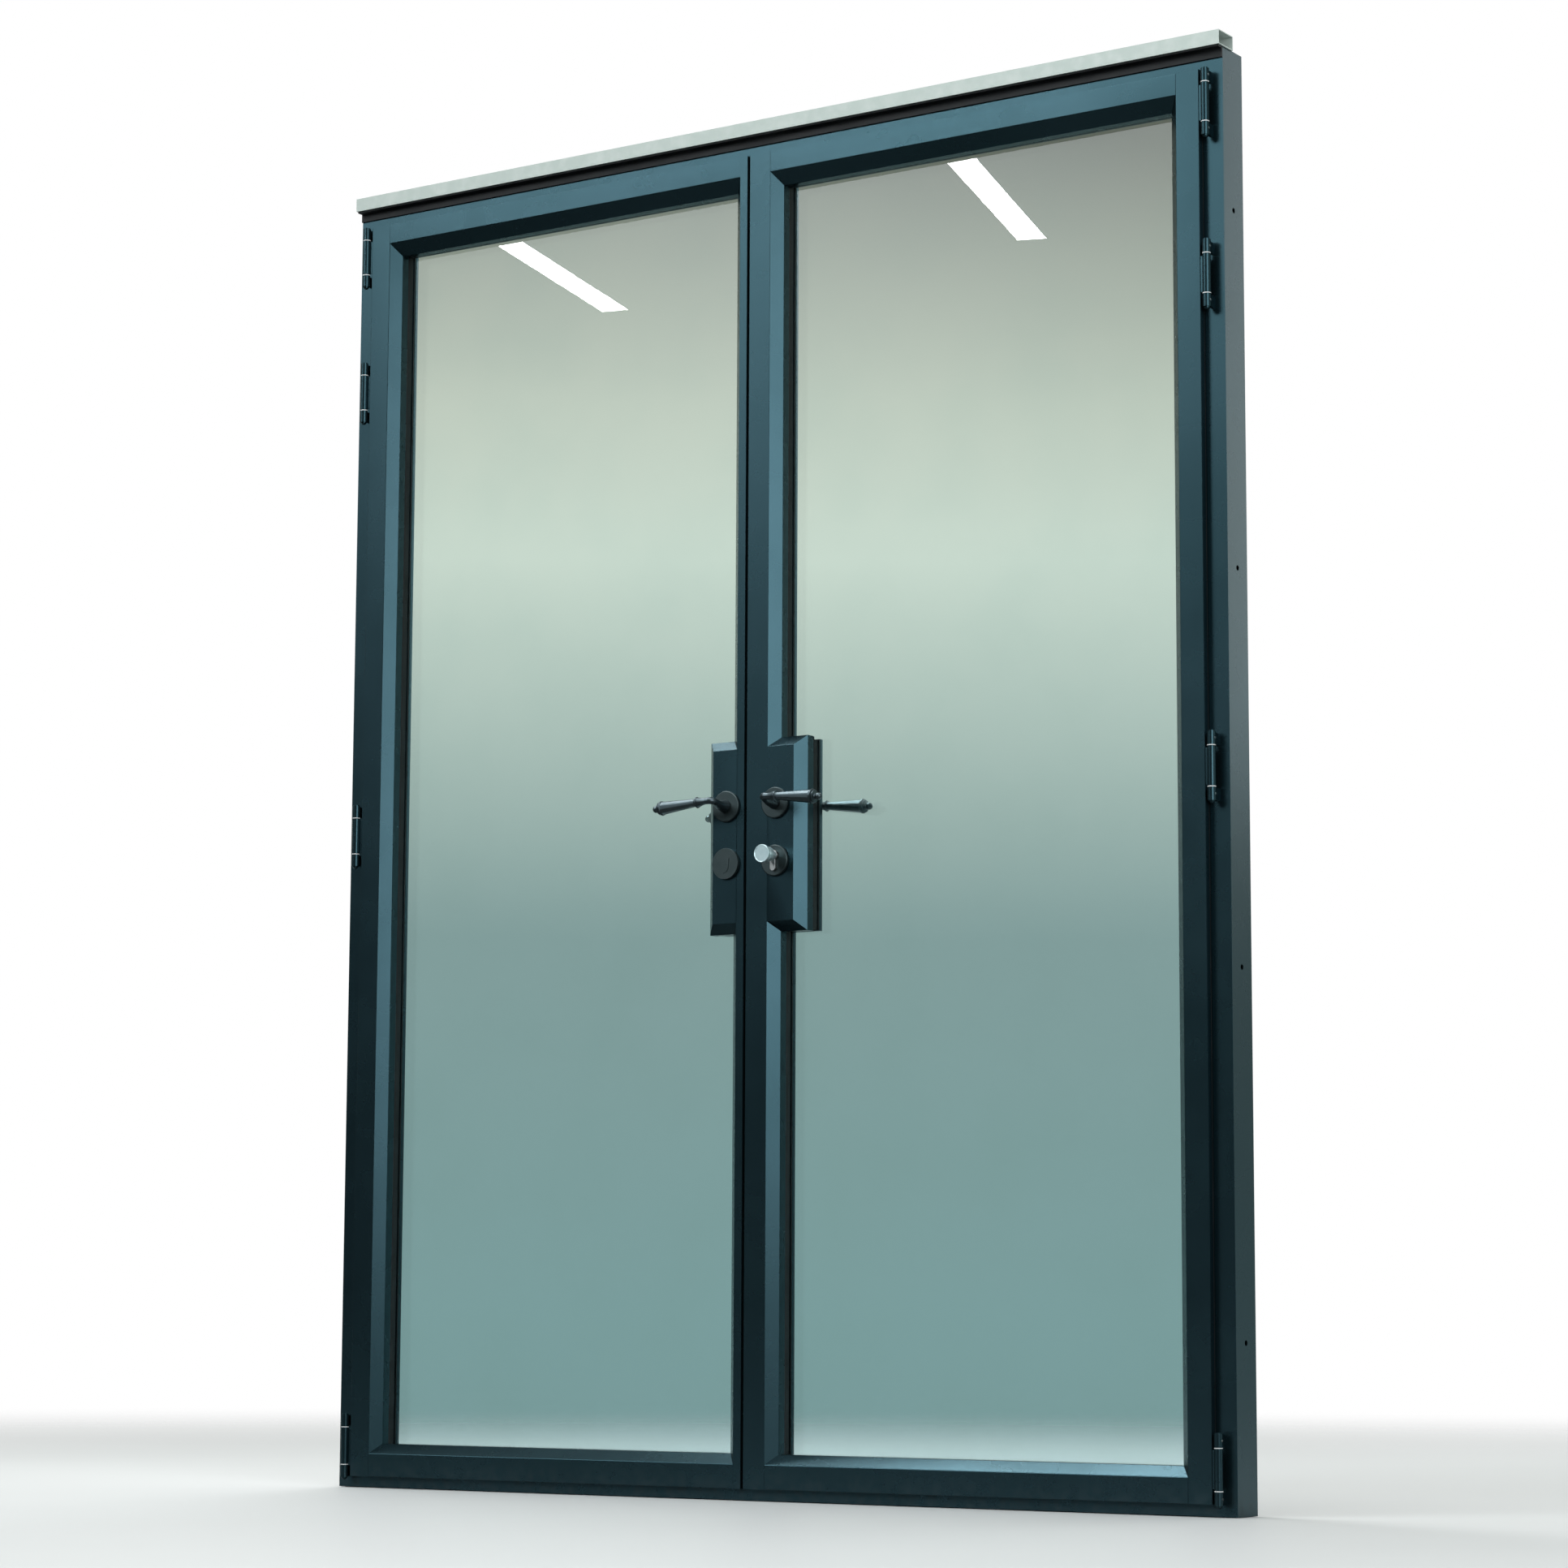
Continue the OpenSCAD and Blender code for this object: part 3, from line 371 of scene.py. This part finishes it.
for node, body in (("frame_hinge_knuckles", "frame"), ("left_hinge_knuckles", "left_leaf"),
                   ("right_hinge_knuckles", "right_leaf")):
    soften(node, body, "coat", slate_coat, 0.5 * mm)
soften("hinge_washers", "frame", "washer", make_nylon(), 0.25 * mm, segments=1)
dress(["hinge_grub_screws"], satin_plate)
dress(["hinge_pins"], slate_coat)

# ------------------------------------------------------------------ roses and escutcheons
# Round roses of steel plate, plated dark grey and brushed, lie under the levers, and the same
# discs are cut for the key cylinder. The left leaf has no cylinder, so its discs are blank but for
# a fine milled groove along one side and the foot of the cylinder's outline.


def make_dark_plate():
    finish, start, place = new_finish("dark_plate")
    cloud = start.noise(place, 45.0, 3.0)
    brush = start.noise(place, 1300.0, 2.0)
    base = cloud.ramp(0.3, 0.7).between((0.044, 0.063, 0.066, 1), (0.056, 0.076, 0.079, 1))
    metal_shader(start, brush, 0.012, Base_Color=base, Roughness=0.38 + cloud * 0.06,
                 Metallic=0.8)
    return finish


dark_plate = make_dark_plate()
rim = 0.5 * mm
for node in ("left_roses", "right_roses", "right_escutcheons"):
    soften(node, node.split("_")[0] + "_leaf", "dark_satin", dark_plate, rim, segments=3)


def model_blank(centre, radius, thick, outwards):
    """A blank disc that lies on the leaf's face, with the groove on the side that shows."""
    bpy.ops.object.select_all(action="DESELECT")
    bpy.ops.mesh.primitive_cylinder_add(
        vertices=96, radius=radius, depth=thick, rotation=(radians(90), 0, 0),
        location=centre + Vector((0, outwards * thick / 2, 0)))
    disc = bpy.context.active_object
    bpy.ops.object.transform_apply(location=True, rotation=True, scale=True)
    face_y = centre.y + outwards * thick
    bpy.ops.object.mode_set(mode="EDIT")
    bpy.ops.mesh.select_mode(type="EDGE")
    bpy.ops.mesh.select_all(action="DESELECT")
    shape = bmesh.from_edit_mesh(disc.data)
    for edge in shape.edges:
        edge.select_set(all(abs(v.co.y - face_y) < 0.1 * mm for v in edge.verts))
    bmesh.update_edit_mesh(disc.data)
    bpy.ops.mesh.bevel(offset=rim, segments=3, affect="EDGES")
    bpy.ops.object.mode_set(mode="OBJECT")
    bpy.ops.object.select_all(action="DESELECT")
    bpy.ops.curve.primitive_bezier_curve_add()
    groove = bpy.context.active_object
    bends = ((8.2, 8.5), (7.6, 0.0), (6.0, -9.0), (2.2, -14.2), (-2.8, -15.2))
    points = groove.data.splines[0].bezier_points
    points.add(len(bends) - len(points))
    groove.matrix_world = Matrix.Identity(4)
    for point, (across, up) in zip(points, bends):
        point.handle_left_type = point.handle_right_type = "AUTO"
        point.co = Vector((centre.x + across * mm, face_y, centre.z + up * mm))
    groove.data.bevel_depth, groove.data.bevel_resolution = 0.75 * mm, 2
    groove.data.use_fill_caps = True
    groove.data.resolution_u = 8
    only(groove)
    bpy.ops.object.convert(target="MESH")
    groove = bpy.context.active_object
    apply_modifier(disc, "BOOLEAN", operation="DIFFERENCE", solver="EXACT", object=groove)
    bpy.data.objects.remove(groove)
    return disc


low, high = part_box("left_escutcheons")
leaf_low, leaf_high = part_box("left_hinge_stile")
blanks = [model_blank(Vector(((low.x + high.x) / 2, leaf_y, (low.z + high.z) / 2)),
                      (high.x - low.x) / 2, thick, outwards)
          for leaf_y, thick, outwards in ((leaf_low.y, leaf_low.y - low.y, -1),
                                          (leaf_high.y, high.y - leaf_high.y, 1))]


def join(name, pieces):
    bpy.ops.object.select_all(action="DESELECT")
    for piece in pieces:
        piece.select_set(True)
    bpy.context.view_layer.objects.active = pieces[0]
    bpy.ops.object.join()
    whole = bpy.context.active_object
    whole.name = whole.data.name = name
    return whole


hang(join("left_blank_discs", blanks), "left_leaf", "dark_satin", dark_plate,
     "left_escutcheons", "left_blank_plugs")

# ------------------------------------------------------------------ levers
# Each lever is a satin black nickel casting: a long cone foot on the rose, a slim swan neck, a
# collar, a grip with long flats that widens outwards, two rings and a ball at the end.


def make_black_nickel():
    finish, start, place = new_finish("black_nickel")
    cloud = start.noise(place, 120.0, 4.0)
    fine = start.noise(place, 900.0, 2.0)
    base = cloud.ramp(0.3, 0.7).between((0.080, 0.106, 0.118, 1), (0.096, 0.124, 0.137, 1))
    metal_shader(start, fine, 0.008, Base_Color=base, Roughness=0.35 + cloud * 0.04,
                 Metallic=1.0)
    return finish


def draw_out(rings, sides, centre, lift=lambda out: 0.0):
    """A round bar drawn ring by ring: each ring is (out, across, turn, radius) from the centre,
    where turn is the way the bar points, in degrees from straight out, and lift its rise."""
    def spot(ring):
        return Vector(centre) + Vector((ring[1], -ring[0], lift(ring[0]))) * mm

    turn, radius = rings[0][2:]
    bpy.ops.object.select_all(action="DESELECT")
    bpy.ops.mesh.primitive_circle_add(vertices=sides, radius=radius * mm, fill_type="NGON",
                                      location=spot(rings[0]),
                                      rotation=(radians(90), 0, radians(turn)))
    bpy.ops.object.mode_set(mode="EDIT")
    bpy.ops.mesh.select_all(action="SELECT")
    for before, ring in zip(rings, rings[1:]):
        step = spot(ring) - spot(before)
        bpy.ops.mesh.extrude_region_move(TRANSFORM_OT_translate={"value": step})
        if ring[2] != before[2]:
            bpy.ops.transform.rotate(value=radians(before[2] - ring[2]), orient_axis="Z",
                                     center_override=spot(ring))
        size = ring[3] / before[3]
        bpy.ops.transform.resize(value=(size, size, size), center_override=spot(ring))
    bpy.ops.mesh.select_all(action="SELECT")
    bpy.ops.mesh.normals_make_consistent(inside=False)
    bpy.ops.object.mode_set(mode="OBJECT")
    piece = bpy.context.active_object
    only(piece)
    bpy.ops.object.transform_apply(location=True, rotation=True, scale=True)
    return piece


def ball(radius, steps):
    """Ring radii of a ball, from nearly its pole to nearly its other pole."""
    return [(radius * (1 - cos(pi * k / steps)), radius * sin(pi * k / steps))
            for k in range(1, steps)]


grip_out = 42.0
bend = 9.5
neck_from = 17.5
neck_rise = 6.0


def neck_lift(out):
    """Height of the bar's middle above the lever's axis, in a soft S along the neck."""
    along_neck = min(max((out - neck_from) / (grip_out - neck_from), 0), 1)
    return neck_rise * along_neck * along_neck * (3 - 2 * along_neck)


def round_flats(grip):
    """Rounds the long edges between the grip's flats a little."""
    only(grip)
    bpy.ops.object.mode_set(mode="EDIT")
    bpy.ops.mesh.select_all(action="DESELECT")
    bpy.ops.mesh.select_mode(type="EDGE")
    shape = bmesh.from_edit_mesh(grip.data)
    for edge in shape.edges:
        run = edge.verts[0].co - edge.verts[1].co
        edge.select_set(abs(run.x) > 0.9 * run.length and run.length > 8 * mm)
    bmesh.update_edit_mesh(grip.data)
    bpy.ops.mesh.bevel(offset=0.7 * mm, segments=2, affect="EDGES")
    bpy.ops.object.mode_set(mode="OBJECT")


def model_lever(axis):
    """The right front lever, its axis at this point on the leaf's face."""
    foot = [(out, 0, 0, r) for out, r in (
        (5.3, 9.8), (5.7, 10.3), (6.6, 10.5), (8.0, 10.1), (10.5, 9.3), (14.0, 8.4),
        (neck_from, 7.6), (22.0, 6.9), (27.0, 6.2), (grip_out - bend, 5.5))]
    elbow = [(grip_out - bend + bend * sin(radians(a)), bend * (1 - cos(radians(a))), a,
              5.4 + 0.5 * sin(radians(2 * a))) for a in range(10, 91, 10)]
    arm = [(grip_out, x, 90, r) for x, r in (
        (12, 5.2), (15, 5.4), (19, 6.1), (22, 6.8), (24.5, 7.5), (26.2, 8.0), (26.6, 7.4))]
    neck = draw_out(foot + elbow + arm, 40, axis, neck_lift)
    collar = draw_out([(grip_out, x, 90, r) for x, r in (
        (26.2, 4.0), (26.3, 7.6), (26.8, 8.6), (27.6, 9.0), (28.6, 9.0), (29.3, 8.6), (29.7, 7.7),
        (30.0, 7.3), (31.0, 7.2), (31.6, 6.8), (31.7, 4.0))], 40, axis, neck_lift)
    grip = draw_out([(grip_out, x, 90, r) for x, r in (
        (30.9, 5.2), (31.4, 6.6), (42, 7.35), (70, 9.2), (95.0, 10.9), (96.2, 10.9),
        (96.3, 8.0))], 10, axis, neck_lift)
    round_flats(grip)
    rings = draw_out([(grip_out, x, 90, r) for x, r in (
        (95.2, 8.0), (95.4, 10.8), (96.0, 11.5), (97.0, 11.85), (98.2, 11.85), (99.2, 11.4),
        (99.8, 10.4), (100.0, 9.2), (100.8, 9.0), (101.2, 9.8), (102.0, 10.2), (102.8, 9.8),
        (103.3, 8.6), (103.6, 5.6), (104.4, 4.6), (105.4, 4.4))], 40, axis, neck_lift)
    knob = draw_out([(grip_out, 103.6 + x, 90, r) for x, r in ball(5.7, 12)], 32, axis,
                    neck_lift)
    return join("lever", [neck, collar, grip, rings, knob])


def lever_axis(side):
    low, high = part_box(f"{side}_roses")
    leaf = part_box(f"{side}_hinge_stile")
    return Vector(((low.x + high.x) / 2, leaf[0].y, (low.z + high.z) / 2)), leaf[1].y


droop = radians(4.0)
black_nickel = make_black_nickel()
axis, leaf_back = lever_axis("right")
pattern = model_lever(axis)
only(pattern)
bpy.ops.object.mode_set(mode="EDIT")
bpy.ops.mesh.select_all(action="SELECT")
bpy.ops.transform.rotate(value=-droop, orient_axis="Y", center_override=axis)
bpy.ops.object.mode_set(mode="OBJECT")
for side in ("left", "right"):
    own_axis, leaf_back = lever_axis(side)
    for end in ("front", "rear"):
        lever = pattern.copy()
        lever.data = pattern.data.copy()
        lever.name = f"{side}_{end}_lever_cast"
        bpy.context.scene.collection.objects.link(lever)
        flip = Matrix.Diagonal((-1 if side == "left" else 1, 1 if end == "front" else -1, 1, 1))
        seat = Vector((own_axis.x, own_axis.y if end == "front" else leaf_back, own_axis.z))
        lever.data.transform(Matrix.Translation(seat) @ flip @ Matrix.Translation(-axis))
        only(lever)
        bpy.ops.object.mode_set(mode="EDIT")
        bpy.ops.mesh.select_all(action="SELECT")
        bpy.ops.mesh.normals_make_consistent(inside=False)
        bpy.ops.object.mode_set(mode="OBJECT")
        hang(lever, f"{side}_lever", "black_nickel", black_nickel, f"{side}_{end}_lever")
bpy.data.objects.remove(pattern)

# ------------------------------------------------------------------ key cylinder and thumb turn
# The cylinder is solid nickel-plated brass to the euro outline. The thumb turn is turned from
# bar: a flared body, a groove, and a disc with a raised rim and a brushed face.
low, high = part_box("thumb_turn")
soften("right_cylinder", "right_leaf", "satin_nickel", satin_plate, 0.5 * mm, segments=3)
face = (axis.y - low.y) / mm
knob_rings = [(9.3, 3.0), (9.35, 7.4), (9.8, 7.9), (11.5, 8.2), (14, 8.8), (17, 10.0), (19, 11.2),
              (20.2, 11.9), (21.4, 12.2), (25, 12.3), (30.0, 12.3), (30.9, 12.0), (31.5, 11.2),
              (31.8, 10.2), (33.4, 10.2), (33.7, 12.2), (34.3, 13.6), (35.3, 14.3),
              (36.6, 14.5), (38.9, 14.5), (face - 0.4, 14.3), (face, 13.7), (face, 13.0),
              (face - 0.5, 12.5), (face - 0.5, 6.0), (face - 0.5, 0.5)]


def make_satin_chrome():
    finish, start, place = new_finish("satin_chrome")
    cloud = start.noise(place, 90.0, 3.0)
    brush = start.noise(place, 1500.0, 2.0)
    base = cloud.ramp(0.3, 0.7).between((0.64, 0.82, 0.85, 1), (0.70, 0.87, 0.90, 1))
    metal_shader(start, brush, 0.015, Base_Color=base, Roughness=0.26 + brush * 0.08,
                 Metallic=0.7)
    return finish


knob = draw_out([(out, 0, 0, r) for out, r in knob_rings], 64,
                ((low.x + high.x) / 2, axis.y, (low.z + high.z) / 2))
knob.name = knob.data.name = "thumb_turn_knob"
hang(knob, "thumb_turn", "satin_nickel", make_satin_chrome(), "thumb_turn")

# ------------------------------------------------------------------ floor, light and camera
# A pale floor in a white studio with four soft lights. What the coat and the glass mirror is a
# dim room with one lit wall at the front left, and what shows through the glass is a lighter
# room. Two long lamps overhead show as gleams in the glass.
bpy.ops.object.select_all(action="DESELECT")
floor_drop = 0.8 * mm
bpy.ops.mesh.primitive_plane_add(size=16, location=(0, 0, -floor_drop))
floor = bpy.context.active_object
floor.name = "floor"
floor_finish, start, place = new_finish("pale_floor")
pale = start.noise(place, 0.6, 3.0).between((0.50, 0.51, 0.51, 1), (0.56, 0.57, 0.57, 1))
through = start.node("LightPath", out="Is Transmission Ray")
# Painted shade: in front of the doors the floor is near black to every ray but the camera's and
# those through glass, so little bounce light reaches the doors' lower front; the camera sees it
# pale.
painted_front_shade = start.node("SeparateXYZ", inputs={"Vector": place}, out="Y").ramp(-0.2, 0.3).between(
    (0.06, 0.065, 0.065, 1), pale)
paint = start.node("BsdfPrincipled", inputs={
    "Base Color": (start.node("LightPath") + through).between(painted_front_shade, pale), "Roughness": 0.5})
far = start.node("VectorMath", {"operation": "LENGTH"}, {0: place}, out="Value")
start.node("OutputMaterial", inputs={"Surface": start.node("MixShader", inputs={
    0: far.ramp(1.6, 6.5), 1: paint, 2: start.node("BsdfTransparent")})})
floor.data.materials.append(floor_finish)

world = bpy.data.worlds.new("white_room")
bpy.context.scene.world = world
world.use_nodes = True
world.node_tree.nodes.clear()
start = Wire(world.node_tree)
way = start.node("TexCoord")
rise = start.node("SeparateXYZ", inputs={"Vector": way}, out="Z") * 0.5 + 0.5
behind = start.node("ValToRGB", {"stops": [
    (0.30, (0.21, 0.27, 0.27)), (0.50, (0.33, 0.44, 0.43)), (0.548, (0.35, 0.43, 0.42)),
    (0.595, (0.84, 0.85, 0.77)), (0.612, (0.70, 0.69, 0.61)), (0.645, (0.17, 0.165, 0.14)),
    (0.85, (0.70, 0.72, 0.70))]}, {0: rise})
before = start.node("ValToRGB", {"stops": [
    (0.30, (0.01, 0.013, 0.014)), (0.52, (0.012, 0.018, 0.02)), (0.62, (0.05, 0.066, 0.07)),
    (0.76, (0.40, 0.44, 0.44)), (0.90, (0.70, 0.74, 0.74))]}, {0: rise})
through = start.node("LightPath", out="Is Transmission Ray")
side_on = start.node("SeparateXYZ", inputs={"Vector": way}, out="Y").ramp(-0.25, 0.25)
lit_wall_way = (-0.498, -0.729, 0.470)
near_wall = start.node("VectorMath", {"operation": "DOT_PRODUCT"}, {0: way, 1: lit_wall_way},
                       out="Value")
lit_wall = near_wall.ramp(0.945, 0.992) * (1 - through)
room = lit_wall.between(through.maths("MAXIMUM", through, side_on).between(before, behind),
                        (0.90, 0.97, 1.0, 1))
start.node("OutputWorld", inputs={"Surface": start.node("MixShader", inputs={
    0: start.node("LightPath"),
    1: start.node("Background", inputs={"Color": room, "Strength": 1 + lit_wall * 4.2}),
    2: start.node("Background", inputs={"Color": (1, 1, 1, 1), "Strength": 1.0})})})


def soft_light(name, place, target, width, height, watts, colour=(1, 1, 1)):
    light = bpy.data.lights.new(name, "AREA")
    light.shape, light.size, light.size_y = "RECTANGLE", width, height
    light.energy, light.color = watts, colour
    holder = bpy.data.objects.new(name, light)
    bpy.context.scene.collection.objects.link(holder)
    aim = Vector(target) - Vector(place)
    holder.location = place
    holder.rotation_euler = aim.to_track_quat("-Z", "Y").to_euler()
    holder.visible_camera = holder.visible_transmission = False
    return holder


soft_light("side", (4.6, -3.0, 2.3), (0, 0, 1.3), 2.8, 3.4, 120, (0.94, 0.98, 1.0))
soft_light("top", (0.6, -1.6, 4.4), (0, 0, 1.2), 3.0, 1.6, 60)
soft_light("back", (1.5, 4.0, 2.8), (0, 0, 1.0), 2.5, 2.5, 40)
soft_light("over", (-1.3, 0.4, 3.6), (0.1, 0, 0.6), 1.7, 0.9, 115)
lamp_width, lamp_length, lamp_height = 0.075, 0.75, 3.0
for name, near, far in (("lamp_left", (-2.55, -2.55), (-2.74, -3.28)),
                        ("lamp_right", (-1.20, -2.56), (-1.42, -3.27))):
    middle = [(a + b) / 2 for a, b in zip(near, far)]
    lamp = soft_light(name, (*middle, lamp_height), (*middle, 0), lamp_width, lamp_length, 8)
    run = Vector(far) - Vector(near)
    lamp.rotation_euler = (0, 0, -Vector((0, 1)).angle_signed(run))

camera = bpy.data.cameras.new("camera")
camera.lens, camera.sensor_width = 91.48, 36.0
camera.clip_end = 200
holder = bpy.data.objects.new("camera", camera)
bpy.context.scene.collection.objects.link(holder)
stand, turn, tilt, roll = (3.5804, -5.2481, 0.2849), 34.09, 7.62, 0.248
holder.matrix_world = (Matrix.Translation(stand)
                       @ Matrix.Rotation(radians(turn), 4, "Z")
                       @ Matrix.Rotation(radians(90 + tilt), 4, "X")
                       @ Matrix.Rotation(radians(roll), 4, "Z"))
bpy.context.scene.camera = holder
bpy.context.scene.view_settings.view_transform = "Standard"
